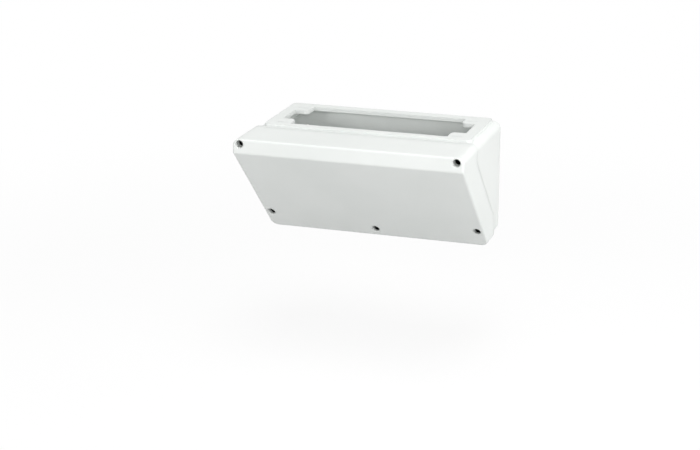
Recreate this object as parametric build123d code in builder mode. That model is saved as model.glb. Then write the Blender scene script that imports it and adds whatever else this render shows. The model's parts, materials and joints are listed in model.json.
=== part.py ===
from build123d import *
import math
import os

os.makedirs("parts", exist_ok=True)

# Overall size. X runs across the width, the wall lies at Y = 0 and the front looks to -Y.
# Z = 0 is half way up, at the middle of the four wall fixing holes.
width = 300.0
height = 156.0
depth = 202.0
corner_radius = 9.0
base_corner_radius = 10.0

# Shape of the side view
flange_rise = 1.6
band_height = 19.0
cover_depth_bottom = 64.5
base_depth_top = 135.0
base_depth_bottom = 39.0
joint_drop = 24.0
joint_heel_height = 34.4
joint_gap = 0.4

# Walls and the sealed rim
cover_wall = 4.6
front_wall = 3.2
back_wall = 3.5
rim_wall = 5.6
rim_step = 2.5
rim_land = 5.0
outer_land = 1.4
groove_width = 2.0
groove_depth = 7.0
lip_clearance = 0.3
lip_height = 4.0
seal_side_clearance = 0.1
seal_compression_gap = 0.15

# Edge rounding
front_edge_radius = 2.0
back_edge_radius = 2.5
section_radius = 4.0

# Top flange with its opening and the four corner pads with their slots
flange_side_inset = 12.5
flange_depth = 118.0
flange_setback = 6.5
flange_corner = 6.0
flange_plate = 5.5
plate_pocket_margin = 6.0
flange_side_rim = 14.0
opening_depth = 93.0
opening_back = 20.7
opening_corner = 4.0
pad_width = 18.5
pad_depth = 23.0
pad_corner = 7.0
pad_slot_length = 14.0
pad_slot_width = 1.6
pad_slot_inset = 7.0
pad_slot_back_inset = 9.8
pad_slot_front_inset = 4.2

# Cover screws, wells and bosses
screw_side_inset = 9.2
screw_top_inset = 6.6
screw_low_height = 27.2
screw_middle_height = 12.5
column_side = 19.0
well_radius = 5.0
well_floor = 8.0
shank_radius = 2.0
shank_clearance = 0.1
shank_hole_radius = 2.4
head_radius = 4.3
head_height = 5.0
head_chamfer = 0.5
slot_width = 1.4
slot_depth = 2.4
ring_height = 1.6
ring_inner_radius = 2.2
ring_outer_radius = 4.4
retainer_radius = 3.9
retainer_height = 1.5
retainer_pocket_radius = 4.2
retainer_pocket_depth = 2.2
retainer_clearance = 0.05
insert_radius = 2.75
insert_length = 12.0
insert_sink = 0.5
insert_clearance = 0.03
boss_hole_radius = 2.3
boss_hole_length = 22.0
screw_reach = 13.0

# Wall fixing
fixing_side_inset = 30.0
fixing_height_inset = 33.0
fixing_hole_radius = 3.25

# Helpers of the drawing: how far a cut runs past the body, and the least tilt of the sloping panel
beyond = 20.0
tilt = 0.3

# Values worked out from those above
z_top = height / 2 - flange_rise
z_bottom = -height / 2
body_height = z_top - z_bottom
body_middle = (z_top + z_bottom) / 2
z_crease = z_top - band_height
z_joint_knee = z_top - joint_drop
z_joint_heel = z_bottom + joint_heel_height
slope_run = depth - cover_depth_bottom
slope_drop = z_crease - z_bottom
slope_length = math.hypot(slope_run, slope_drop)

screw_x = width / 2 - screw_side_inset
flange_width = width - 2 * flange_side_inset
opening_width = flange_width - 2 * flange_side_rim
pad_slot_x = opening_width / 2 - pad_slot_inset
pad_slot_back_y = opening_back + pad_slot_back_inset
pad_slot_front_y = opening_back + opening_depth - pad_slot_front_inset
fixing_spacing_x = width - 2 * fixing_side_inset
fixing_spacing_z = height - 2 * fixing_height_inset
flange_centre_y = -flange_setback - flange_depth / 2
opening_centre_y = -opening_back - opening_depth / 2

# Screw places: x, z and the depth of the joint behind each screw
screw_places = [
    (-screw_x, z_top - screw_top_inset, base_depth_top),
    (screw_x, z_top - screw_top_inset, base_depth_top),
    (-screw_x, z_bottom + screw_low_height, base_depth_bottom),
    (0.0, z_bottom + screw_middle_height, base_depth_bottom),
    (screw_x, z_bottom + screw_low_height, base_depth_bottom),
]


def joint_line(shift):
    """Side view of the joint between base and cover, moved towards the front by shift."""
    return [
        (-base_depth_top - shift, z_top + beyond),
        (-base_depth_top - shift, z_joint_knee),
        (-base_depth_bottom - shift, z_joint_heel),
        (-base_depth_bottom - shift, z_bottom - beyond),
    ]


def front_line(inset):
    """Side view of the front band and the sloping panel, inset by a wall thickness."""
    level = inset * slope_length / slope_drop
    knee = z_crease + (level - inset) * slope_drop / slope_run
    foot = -depth + level + (z_crease - z_bottom + beyond) * slope_run / slope_drop
    return [
        (-depth + inset, z_top + beyond),
        (-depth + inset, knee),
        (foot, z_bottom - beyond),
    ]


def side_block(points):
    """A side view drawn in the YZ plane and carried across the whole width."""
    with BuildPart() as block:
        with BuildSketch(Plane.YZ):
            with BuildLine():
                Polyline(*points, close=True)
            make_face()
        extrude(amount=width / 2 + beyond, both=True)
    return block.part


def envelope(inset, radius):
    """The rounded rectangle of the housing seen from the front."""
    with BuildSketch(Plane.XZ) as outline:
        with Locations((0, body_middle)):
            RectangleRounded(width - 2 * inset, body_height - 2 * inset, radius)
    return outline.sketch


def rim_section(growth):
    """Inner outline of the cover, which steps round the screw columns, grown outwards."""
    inner_width = width - 2 * cover_wall
    inner_height = body_height - 2 * cover_wall
    low_block = screw_low_height + column_side / 2
    half = column_side / 2
    with BuildSketch(Plane.XZ) as section:
        with Locations((0, body_middle)):
            Rectangle(inner_width, inner_height)
        with Locations((-screw_x - half, z_top), (screw_x + half, z_top)):
            Rectangle(2 * column_side, 2 * (screw_top_inset + half), mode=Mode.SUBTRACT)
        with Locations((-screw_x - half, z_bottom), (screw_x + half, z_bottom)):
            Rectangle(2 * column_side, 2 * low_block, mode=Mode.SUBTRACT)
        with Locations((0, z_bottom)):
            Rectangle(column_side, 2 * (screw_middle_height + half), mode=Mode.SUBTRACT)
        fillet(section.vertices(), radius=section_radius)
        if growth != 0:
            offset(amount=growth)
    return section.sketch


def rim_ring(inner_growth, outer_growth, near, far):
    """A closed ring that follows the joint: near and far are its shifts to the front."""
    with BuildPart() as ring:
        extrude(rim_section(outer_growth), amount=depth + beyond)
        extrude(rim_section(inner_growth), amount=depth + beyond, mode=Mode.SUBTRACT)
        add(side_block(joint_line(near) + joint_line(far)[::-1]), mode=Mode.INTERSECT)
    return ring.part


def screw_plane(place, reach):
    """A plane square to a screw's axis that faces the front, reach behind the joint."""
    x, z, joint_depth = place
    return Plane(origin=(x, -joint_depth + reach, z), x_dir=(1, 0, 0), z_dir=(0, -1, 0))


groove_outer = cover_wall - outer_land
groove_inner = groove_outer - groove_width
lip_outer = groove_outer - lip_clearance
lip_inner = groove_inner + lip_clearance
base_growth = cover_wall - rim_wall
head_seat = well_floor + ring_height

# Base: a deep box with a stepped rim, a raised lip for the seal and the flange on its top
with BuildPart() as base_body:
    extrude(envelope(rim_step, base_corner_radius), amount=depth)
    add(side_block([(0, z_top + beyond)] + joint_line(0) + [(0, z_bottom - beyond)]),
        mode=Mode.INTERSECT)
    back_edges = base_body.faces().sort_by(Axis.Y)[-1].edges()
    fillet(back_edges, radius=back_edge_radius)

with BuildPart() as base_rim:
    extrude(envelope(0, corner_radius), amount=depth)
    add(side_block(joint_line(-rim_land) + joint_line(0)[::-1]), mode=Mode.INTERSECT)

with BuildPart() as base_cavity:
    extrude(rim_section(base_growth), amount=depth + beyond)
    with BuildSketch(Plane.XZ):
        Rectangle(2 * width, 2 * height)
    extrude(amount=back_wall, mode=Mode.SUBTRACT)
    # Shallow pocket that keeps the flange plate at its own thickness
    with BuildSketch(Plane.XY.offset(z_top + flange_rise - flange_plate)):
        with Locations((0, opening_centre_y)):
            Rectangle(opening_width + 2 * plate_pocket_margin, opening_depth + 2 * plate_pocket_margin)
    extrude(amount=-2 * flange_plate)

with BuildPart() as base_housing:
    add(base_body.part)
    add(base_rim.part)
    with BuildSketch(Plane.XY.offset(z_top - rim_wall)):
        with Locations((0, flange_centre_y)):
            RectangleRounded(flange_width, flange_depth, flange_corner)
    extrude(amount=rim_wall + flange_rise)
    add(base_cavity.part, mode=Mode.SUBTRACT)
    # Opening in the flange, less the four corner pads, and the slot in each pad
    with BuildSketch(Plane.XY.offset(z_top - 2 * rim_wall)):
        with Locations((0, opening_centre_y)):
            RectangleRounded(opening_width, opening_depth, opening_corner)
            with GridLocations(opening_width, opening_depth, 2, 2):
                RectangleRounded(2 * pad_width, 2 * pad_depth, pad_corner, mode=Mode.SUBTRACT)
    extrude(amount=height, mode=Mode.SUBTRACT)
    with BuildSketch(Plane.XY.offset(z_top - 2 * rim_wall)):
        with Locations(
            (-pad_slot_x, -pad_slot_back_y),
            (pad_slot_x, -pad_slot_back_y),
            (-pad_slot_x, -pad_slot_front_y),
            (pad_slot_x, -pad_slot_front_y),
        ):
            Rectangle(pad_slot_length, pad_slot_width)
    extrude(amount=height, mode=Mode.SUBTRACT)
    # Lip that presses into the seal
    add(rim_ring(lip_inner, lip_outer, -rim_land, lip_height))
    # Holes for the brass inserts and the screw ends
    for place in screw_places:
        with BuildSketch(screw_plane(place, 0)):
            Circle(insert_radius + insert_clearance)
        extrude(amount=-insert_length - insert_sink, mode=Mode.SUBTRACT)
        with BuildSketch(screw_plane(place, 0)):
            Circle(boss_hole_radius)
        extrude(amount=-boss_hole_length, mode=Mode.SUBTRACT)
    # Wall fixing holes
    with BuildSketch(Plane.XZ):
        with GridLocations(fixing_spacing_x, fixing_spacing_z, 2, 2):
            Circle(fixing_hole_radius)
    extrude(amount=2 * back_wall, mode=Mode.SUBTRACT)

base_housing.part.label = "base_housing"
export_step(base_housing.part, "parts/base_housing.step")

# Cover: a skirted hood with the sloping front and five deep screw wells
with BuildPart() as cover_outer:
    extrude(envelope(0, corner_radius), amount=depth + beyond)
    add(side_block(joint_line(joint_gap) + front_line(0)[::-1]), mode=Mode.INTERSECT)
    band = cover_outer.faces().sort_by(Axis.Y)[0]
    panel = cover_outer.faces().filter_by(lambda f: f.normal_at().Y < -tilt and f.normal_at().Z < -tilt)
    panel = panel.sort_by(SortBy.AREA)[-1]
    front_edges = ShapeList(set(band.edges() + panel.edges()))
    fillet(front_edges, radius=front_edge_radius)

with BuildPart() as cover_cavity:
    extrude(rim_section(0), amount=depth + beyond)
    inner = side_block([(beyond, z_top + beyond)] + front_line(front_wall) + [(beyond, z_bottom - beyond)])
    add(inner, mode=Mode.INTERSECT)

with BuildPart() as sloping_cover:
    add(cover_outer.part)
    add(cover_cavity.part, mode=Mode.SUBTRACT)
    add(rim_ring(groove_inner, groove_outer, -beyond, groove_depth), mode=Mode.SUBTRACT)
    for place in screw_places:
        with BuildSketch(screw_plane(place, -well_floor)):
            Circle(well_radius)
        extrude(amount=depth, mode=Mode.SUBTRACT)
        with BuildSketch(screw_plane(place, 0)):
            Circle(shank_hole_radius)
        extrude(amount=2 * well_floor, mode=Mode.SUBTRACT)
        with BuildSketch(screw_plane(place, 0)):
            Circle(retainer_pocket_radius)
        extrude(amount=retainer_pocket_depth, mode=Mode.SUBTRACT)

sloping_cover.part.label = "sloping_cover"
export_step(sloping_cover.part, "parts/sloping_cover.step")

# Seal that lies in the bottom of the cover's groove
seal = rim_ring(
    groove_inner + seal_side_clearance,
    groove_outer - seal_side_clearance,
    lip_height + seal_compression_gap,
    groove_depth,
)
seal.label = "cover_seal"
export_step(seal, "parts/cover_seal.step")

# Screws with their rings, retainers and inserts
for number, place in enumerate(screw_places, start=1):
    with BuildPart() as screw:
        with BuildSketch(screw_plane(place, screw_reach)):
            Circle(shank_radius)
        extrude(amount=screw_reach + head_seat)
        with BuildSketch(screw_plane(place, -head_seat)):
            Circle(head_radius)
        extrude(amount=head_height)
        top_edges = screw.faces().sort_by(Axis.Y)[0].edges()
        chamfer(top_edges, length=head_chamfer)
        with BuildSketch(screw_plane(place, -head_seat - head_height + slot_depth)):
            Rectangle(2 * head_radius + beyond, slot_width)
        extrude(amount=slot_depth + beyond, mode=Mode.SUBTRACT)
    screw.part.label = f"cover_screw_{number}"
    export_step(screw.part, f"parts/cover_screw_{number}.step")

    with BuildPart() as sealing_ring:
        with BuildSketch(screw_plane(place, -well_floor)):
            Circle(ring_outer_radius)
            Circle(ring_inner_radius, mode=Mode.SUBTRACT)
        extrude(amount=ring_height)
    sealing_ring.part.label = f"screw_ring_{number}"
    export_step(sealing_ring.part, f"parts/screw_ring_{number}.step")

    with BuildPart() as retainer:
        with BuildSketch(screw_plane(place, -retainer_pocket_depth + retainer_height)):
            Circle(retainer_radius)
            Circle(shank_radius + retainer_clearance, mode=Mode.SUBTRACT)
        extrude(amount=retainer_height)
    retainer.part.label = f"screw_retainer_{number}"
    export_step(retainer.part, f"parts/screw_retainer_{number}.step")

    with BuildPart() as insert:
        with BuildSketch(screw_plane(place, insert_length + insert_sink)):
            Circle(insert_radius)
            Circle(shank_radius + shank_clearance, mode=Mode.SUBTRACT)
        extrude(amount=insert_length)
    insert.part.label = f"threaded_insert_{number}"
    export_step(insert.part, f"parts/threaded_insert_{number}.step")
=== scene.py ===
import json
import math

import bpy
from mathutils import Matrix, Vector


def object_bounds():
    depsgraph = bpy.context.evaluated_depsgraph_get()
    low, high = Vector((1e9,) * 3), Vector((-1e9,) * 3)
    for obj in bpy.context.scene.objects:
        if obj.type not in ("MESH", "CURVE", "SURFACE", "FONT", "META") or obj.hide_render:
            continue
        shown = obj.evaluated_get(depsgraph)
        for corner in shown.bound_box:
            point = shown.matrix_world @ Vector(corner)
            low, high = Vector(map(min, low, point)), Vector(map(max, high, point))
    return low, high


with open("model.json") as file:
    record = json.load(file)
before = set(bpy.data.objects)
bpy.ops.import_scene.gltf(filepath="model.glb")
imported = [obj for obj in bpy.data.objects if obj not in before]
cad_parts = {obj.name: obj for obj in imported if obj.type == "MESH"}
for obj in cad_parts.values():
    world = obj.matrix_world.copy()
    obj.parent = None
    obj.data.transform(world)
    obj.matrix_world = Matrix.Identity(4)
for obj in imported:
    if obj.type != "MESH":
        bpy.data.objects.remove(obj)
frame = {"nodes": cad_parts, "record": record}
cad_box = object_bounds()

# Camera, fitted to the photograph of 700 x 450 pixels (metres, degrees)
IMAGE_WIDTH = 700
FOCAL_PIXELS = 1749.1
SENSOR = 36.0
CAMERA_PLACE = Vector((0.6543, -2.1719, 0.6455))
CAMERA_AZIMUTH = 18.23
CAMERA_ELEVATION = 17.84

# Floor: how far it lies below the part, and where it fades into the white backdrop
FLOOR_DROP = 0.14
FLOOR_MIDDLE = -0.15
FLOOR_HALF = 6.0
FADE_START = 0.45
FADE_END = 1.2
FLOOR_GREY = (0.55, 0.55, 0.55, 1.0)
FLOOR_ROUGHNESS = 0.9
FLOOR_GLOW = 1.12
FLOOR_GLOW_SHARE = 0.75
WHITE = (1.0, 1.0, 1.0, 1.0)

# Screw wells in metres: how far in their painted shade starts, where their floors lie, and the mouths'
# middles
WELL_RADIUS = 0.0053
BAND_WELL_SIGHT = 0.0122
PANEL_WELL_SIGHT = 0.0108
BAND_WELL_FLOOR = -0.1430
PANEL_WELL_FLOOR = -0.0470
WELL_BLEND = 0.0003
BAND_FRONT = -0.15
WELL_MOUTHS = (
    (-0.1408, -0.2020, 0.0698),
    (0.1408, -0.2020, 0.0698),
    (-0.1408, -0.0921, -0.0508),
    (0.0, -0.0772, -0.0655),
    (0.1408, -0.0921, -0.0508),
)

# Radius over which the edges of cover and base are shaded round
COVER_SOFTNESS = 0.004
BASE_SOFTNESS = 0.0015
EDGE_SAMPLES = 6

# Thread on the screws: turns over the whole length, and the share of the length where it starts
THREAD_TURNS = 39.0
THREAD_START = 0.62

# Light: strength of the surroundings, then the lamps with place, size and power
WORLD_LIGHT = 0.5
LAMPS = (
    ("front_key", (-1.33, -2.75, 0.72), 0.5, 18.0),
    ("camera_side", (0.75, -2.3, 0.70), 0.7, 12.0),
    ("top_light", (0.3, -0.5, 2.6), 1.6, 33.0),
    ("right_fill", (2.5, -0.8, 0.55), 2.2, 47.0),
)
LAMP_TARGET = Vector((0.0, -0.1, 0.0))

# Shades of each material, the darker and the lighter one
HOUSING_SHADES = ((0.745, 0.770, 0.752), (0.785, 0.806, 0.790))
# Painted shade in the depth of the screw wells, nearly black
WELL_PAINTED_SHADE_TONES = ((0.008, 0.008, 0.008), (0.018, 0.018, 0.018))
SCREW_SHADES = ((0.020, 0.021, 0.021), (0.050, 0.052, 0.052))
SEAL_SHADES = ((0.018, 0.018, 0.018), (0.035, 0.035, 0.034))
NYLON_SHADES = ((0.74, 0.73, 0.68), (0.80, 0.79, 0.74))
BRASS_SHADES = ((0.62, 0.45, 0.20), (0.78, 0.60, 0.30))

# Most of a noise texture's values lie between these two
NOISE_LOW = 0.3
NOISE_HIGH = 0.7


def add_camera():
    """The camera of the photograph."""
    azimuth = math.radians(CAMERA_AZIMUTH)
    elevation = math.radians(CAMERA_ELEVATION)
    forward = Vector((
        -math.sin(azimuth) * math.cos(elevation),
        math.cos(azimuth) * math.cos(elevation),
        -math.sin(elevation),
    ))
    right = Vector((math.cos(azimuth), math.sin(azimuth), 0.0))
    up = right.cross(forward)
    data = bpy.data.cameras.new("camera")
    data.sensor_width = SENSOR
    data.lens = FOCAL_PIXELS * SENSOR / IMAGE_WIDTH
    data.clip_start = 0.01
    data.clip_end = 50.0
    camera = bpy.data.objects.new("camera", data)
    bpy.context.scene.collection.objects.link(camera)
    turn = Matrix((right, up, -forward)).transposed().to_4x4()
    camera.matrix_world = Matrix.Translation(CAMERA_PLACE) @ turn
    bpy.context.scene.camera = camera


def new_material(name):
    """A node material with its tree and its Principled shader."""
    material = bpy.data.materials.new(name)
    material.use_nodes = True
    tree = material.node_tree
    shader = tree.nodes["Principled BSDF"]
    return material, tree, shader


def noise(tree, scale, detail, roughness=0.5, stretch=None):
    """Object-space noise; stretch scales its axes to draw streaks."""
    place = tree.nodes.new("ShaderNodeTexCoord")
    texture = tree.nodes.new("ShaderNodeTexNoise")
    texture.inputs["Scale"].default_value = scale
    texture.inputs["Detail"].default_value = detail
    texture.inputs["Roughness"].default_value = roughness
    if stretch is None:
        tree.links.new(place.outputs["Object"], texture.inputs["Vector"])
    else:
        mapping = tree.nodes.new("ShaderNodeMapping")
        mapping.inputs["Scale"].default_value = stretch
        tree.links.new(place.outputs["Object"], mapping.inputs["Vector"])
        tree.links.new(mapping.outputs["Vector"], texture.inputs["Vector"])
    return texture.outputs["Fac"]


def spread(tree, value, low, high):
    """Maps a noise value to the range low to high."""
    node = tree.nodes.new("ShaderNodeMapRange")
    node.inputs["From Min"].default_value = NOISE_LOW
    node.inputs["From Max"].default_value = NOISE_HIGH
    node.inputs["To Min"].default_value = low
    node.inputs["To Max"].default_value = high
    tree.links.new(value, node.inputs["Value"])
    return node.outputs["Result"]


def tint(tree, value, shades):
    """A colour that varies between two near shades."""
    ramp = tree.nodes.new("ShaderNodeValToRGB")
    for element, position, shade in zip(ramp.color_ramp.elements, (NOISE_LOW, NOISE_HIGH), shades):
        element.position = position
        element.color = (*shade, 1.0)
    tree.links.new(value, ramp.inputs["Fac"])
    return ramp.outputs["Color"]


def bump(tree, shader, height, distance, strength, under=None):
    """Relief on the shader, laid over the normal of the node under it."""
    node = tree.nodes.new("ShaderNodeBump")
    node.inputs["Distance"].default_value = distance
    node.inputs["Strength"].default_value = strength
    tree.links.new(height, node.inputs["Height"])
    if under is not None:
        tree.links.new(under.outputs["Normal"], node.inputs["Normal"])
    tree.links.new(node.outputs["Normal"], shader.inputs["Normal"])
    return node


def math_node(tree, operation, *values):
    """A sum or comparison of numbers and sockets."""
    node = tree.nodes.new("ShaderNodeMath")
    node.operation = operation
    for socket, value in zip(node.inputs, values):
        if isinstance(value, float):
            socket.default_value = value
        else:
            tree.links.new(value, socket)
    return node.outputs["Value"]


def painted_well_shade_mask(tree, origin):
    """Mask of painted shade: one in the depth of the five screw wells, down to their floors, and nought
    everywhere else.
    """
    place = tree.nodes.new("ShaderNodeTexCoord")
    split = tree.nodes.new("ShaderNodeSeparateXYZ")
    tree.links.new(place.outputs["Object"], split.inputs["Vector"])
    flat = tree.nodes.new("ShaderNodeCombineXYZ")
    tree.links.new(split.outputs["X"], flat.inputs["X"])
    tree.links.new(split.outputs["Z"], flat.inputs["Z"])
    total = None
    for mouth in WELL_MOUTHS:
        x, y, z = Vector(mouth) - origin
        gap = tree.nodes.new("ShaderNodeVectorMath")
        gap.operation = "DISTANCE"
        gap.inputs[1].default_value = (x, 0.0, z)
        tree.links.new(flat.outputs["Vector"], gap.inputs[0])
        inside = math_node(tree, "LESS_THAN", gap.outputs["Value"], WELL_RADIUS)
        in_band = mouth[1] < BAND_FRONT
        sight = BAND_WELL_SIGHT if in_band else PANEL_WELL_SIGHT
        floor = BAND_WELL_FLOOR if in_band else PANEL_WELL_FLOOR
        above = math_node(tree, "LESS_THAN", split.outputs["Y"], floor - origin.y + WELL_BLEND)
        deep = tree.nodes.new("ShaderNodeMapRange")
        deep.inputs["From Min"].default_value = y + sight - WELL_BLEND
        deep.inputs["From Max"].default_value = y + sight + WELL_BLEND
        tree.links.new(split.outputs["Y"], deep.inputs["Value"])
        bounded = math_node(tree, "MULTIPLY", inside, above)
        here = math_node(tree, "MULTIPLY", bounded, deep.outputs["Result"])
        total = here if total is None else math_node(tree, "MAXIMUM", total, here)
    return total


def paint_shade_in_wells(tree, colour, origin):
    """The housing's colour with painted shade, nearly black, in the depth of the screw wells."""
    dark = tint(tree, noise(tree, scale=500.0, detail=2.0), WELL_PAINTED_SHADE_TONES)
    mix = tree.nodes.new("ShaderNodeMix")
    mix.data_type = "RGBA"
    first, second = [socket for socket in mix.inputs if socket.type == "RGBA"]
    tree.links.new(painted_well_shade_mask(tree, origin), mix.inputs["Factor"])
    tree.links.new(colour, first)
    tree.links.new(dark, second)
    return next(socket for socket in mix.outputs if socket.type == "RGBA")


def housing_plastic(name, softness, painted_well_shade_origin=None):
    """Light grey moulded plastic with a fine satin grain and faint flow marks."""
    material, tree, shader = new_material(name)
    colour = tint(tree, noise(tree, scale=9.0, detail=3.0), HOUSING_SHADES)
    # On the cover, painted shade turns the depth of the screw wells nearly black
    if painted_well_shade_origin is not None:
        colour = paint_shade_in_wells(tree, colour, painted_well_shade_origin)
    tree.links.new(colour, shader.inputs["Base Color"])
    grain = noise(tree, scale=1800.0, detail=2.0, roughness=0.6)
    tree.links.new(spread(tree, grain, low=0.46, high=0.60), shader.inputs["Roughness"])
    shader.inputs["Specular IOR Level"].default_value = 0.32
    # The outer edges look softly rounded
    soft = tree.nodes.new("ShaderNodeBevel")
    soft.samples = EDGE_SAMPLES
    soft.inputs["Radius"].default_value = softness
    flow = noise(tree, scale=28.0, detail=1.0)
    waves = bump(tree, shader, flow, distance=0.0006, strength=0.12, under=soft)
    bump(tree, shader, grain, distance=0.00004, strength=0.45, under=waves)
    return material


def screw_plastic():
    """Black glass-filled plastic with short fibre streaks."""
    material, tree, shader = new_material("screw_plastic")
    fibres = noise(tree, scale=900.0, detail=2.0, roughness=0.6, stretch=(1.0, 0.15, 1.0))
    tree.links.new(tint(tree, fibres, SCREW_SHADES), shader.inputs["Base Color"])
    tree.links.new(spread(tree, fibres, low=0.35, high=0.5), shader.inputs["Roughness"])
    grain = bump(tree, shader, fibres, distance=0.00005, strength=0.5)
    # Thread on the end of the shank, drawn along the length of the screw
    place = tree.nodes.new("ShaderNodeTexCoord")
    split = tree.nodes.new("ShaderNodeSeparateXYZ")
    tree.links.new(place.outputs["Generated"], split.inputs["Vector"])
    turns = math_node(tree, "MULTIPLY", split.outputs["Y"], THREAD_TURNS * 2.0 * math.pi)
    ridges = math_node(tree, "SINE", turns)
    zone = math_node(tree, "GREATER_THAN", split.outputs["Y"], THREAD_START)
    thread = math_node(tree, "MULTIPLY", ridges, zone)
    bump(tree, shader, thread, distance=0.0002, strength=0.8, under=grain)
    return material


def seal_rubber():
    """Black foamed rubber with small open cells."""
    material, tree, shader = new_material("seal_rubber")
    cells = tree.nodes.new("ShaderNodeTexVoronoi")
    cells.inputs["Scale"].default_value = 1400.0
    place = tree.nodes.new("ShaderNodeTexCoord")
    tree.links.new(place.outputs["Object"], cells.inputs["Vector"])
    colour = tint(tree, noise(tree, scale=300.0, detail=2.0), SEAL_SHADES)
    tree.links.new(colour, shader.inputs["Base Color"])
    shader.inputs["Roughness"].default_value = 0.8
    bump(tree, shader, cells.outputs["Distance"], distance=0.0002, strength=0.6)
    return material


def nylon():
    """Natural nylon, slightly waxy."""
    material, tree, shader = new_material("nylon")
    cloud = noise(tree, scale=400.0, detail=2.0)
    tree.links.new(tint(tree, cloud, NYLON_SHADES), shader.inputs["Base Color"])
    tree.links.new(spread(tree, cloud, low=0.3, high=0.42), shader.inputs["Roughness"])
    bump(tree, shader, cloud, distance=0.00005, strength=0.3)
    return material


def turned_brass():
    """Brass with fine turning marks round its axis and slight tarnish."""
    material, tree, shader = new_material("turned_brass")
    marks = noise(tree, scale=700.0, detail=2.0, roughness=0.6, stretch=(0.2, 8.0, 0.2))
    tarnish = noise(tree, scale=250.0, detail=3.0)
    tree.links.new(tint(tree, tarnish, BRASS_SHADES), shader.inputs["Base Color"])
    shader.inputs["Metallic"].default_value = 1.0
    tree.links.new(spread(tree, marks, low=0.22, high=0.38), shader.inputs["Roughness"])
    bump(tree, shader, marks, distance=0.00006, strength=0.5)
    return material


def dress_nodes():
    """Every CAD node gets the material of its slot, and the cover its own with painted shade in the depth
    of its wells.
    """
    materials = {
        "housing": housing_plastic("housing_plastic", BASE_SOFTNESS),
        "screw": screw_plastic(),
        "seal": seal_rubber(),
        "retainer": nylon(),
        "insert": turned_brass(),
    }
    bpy.context.view_layer.update()
    cover_origin = frame["nodes"]["sloping_cover"].matrix_world.translation.copy()
    own_materials = {"sloping_cover": housing_plastic("cover_plastic", COVER_SOFTNESS, cover_origin)}
    for part in frame["record"]["subparts"]:
        name = part["node"]
        material = own_materials.get(name, materials[part["material_slot"]])
        for slot in frame["nodes"][name].material_slots:
            slot.material = material


def add_floor():
    """A plain floor that looks white to the camera where no shadow falls on it."""
    mesh = bpy.data.meshes.new("floor")
    half = FLOOR_HALF
    corners = [(-half, -half, 0.0), (half, -half, 0.0), (half, half, 0.0), (-half, half, 0.0)]
    mesh.from_pydata(corners, [], [(0, 1, 2, 3)])
    floor = bpy.data.objects.new("floor", mesh)
    bpy.context.scene.collection.objects.link(floor)
    material, tree, shader = new_material("floor_paper")
    shader.inputs["Base Color"].default_value = FLOOR_GREY
    shader.inputs["Roughness"].default_value = FLOOR_ROUGHNESS
    path = tree.nodes.new("ShaderNodeLightPath")
    to_camera = path.outputs["Is Camera Ray"]
    near = math_node(tree, "MULTIPLY", to_camera, FLOOR_GLOW_SHARE)
    lit = blend(tree, near, shader.outputs["BSDF"], glow(tree, FLOOR_GLOW))
    # Away from the object the floor fades into the white backdrop
    place = tree.nodes.new("ShaderNodeTexCoord")
    reach = tree.nodes.new("ShaderNodeVectorMath")
    reach.operation = "LENGTH"
    tree.links.new(place.outputs["Object"], reach.inputs[0])
    fade = tree.nodes.new("ShaderNodeMapRange")
    fade.interpolation_type = "SMOOTHSTEP"
    fade.inputs["From Min"].default_value = FADE_START
    fade.inputs["From Max"].default_value = FADE_END
    tree.links.new(reach.outputs["Value"], fade.inputs["Value"])
    far = math_node(tree, "MULTIPLY", to_camera, fade.outputs["Result"])
    surface = blend(tree, far, lit, glow(tree, 1.0))
    tree.links.new(surface, tree.nodes["Material Output"].inputs["Surface"])
    mesh.materials.append(material)
    floor.location = (0.0, FLOOR_MIDDLE, cad_box[0][2] - FLOOR_DROP)


def glow(tree, strength):
    """A white emission."""
    node = tree.nodes.new("ShaderNodeEmission")
    node.inputs["Color"].default_value = WHITE
    node.inputs["Strength"].default_value = strength
    return node.outputs["Emission"]


def background(tree, strength):
    """A white background light."""
    node = tree.nodes.new("ShaderNodeBackground")
    node.inputs["Color"].default_value = WHITE
    node.inputs["Strength"].default_value = strength
    return node.outputs["Background"]


def blend(tree, share, first, second):
    """A mix of two shaders; share is how much of the second shows."""
    node = tree.nodes.new("ShaderNodeMixShader")
    tree.links.new(share, node.inputs["Fac"])
    tree.links.new(first, node.inputs[1])
    tree.links.new(second, node.inputs[2])
    return node.outputs["Shader"]


def add_world(strength):
    """White to the camera, and a soft even light for the object."""
    world = bpy.data.worlds.new("world")
    world.use_nodes = True
    tree = world.node_tree
    tree.nodes.clear()
    path = tree.nodes.new("ShaderNodeLightPath")
    output = tree.nodes.new("ShaderNodeOutputWorld")
    surface = blend(tree, path.outputs["Is Camera Ray"], background(tree, strength), background(tree, 1.0))
    tree.links.new(surface, output.inputs["Surface"])
    bpy.context.scene.world = world


def add_light(name, place, size, power):
    """A square area light that looks at the middle of the object."""
    data = bpy.data.lights.new(name, "AREA")
    data.shape = "SQUARE"
    data.size = size
    data.energy = power
    lamp = bpy.data.objects.new(name, data)
    bpy.context.scene.collection.objects.link(lamp)
    lamp.location = Vector(place)
    lamp.rotation_euler = (LAMP_TARGET - lamp.location).to_track_quat("-Z", "Y").to_euler()


add_camera()
dress_nodes()
add_floor()
add_world(WORLD_LIGHT)
for lamp in LAMPS:
    add_light(*lamp)
bpy.context.scene.view_settings.view_transform = "Standard"
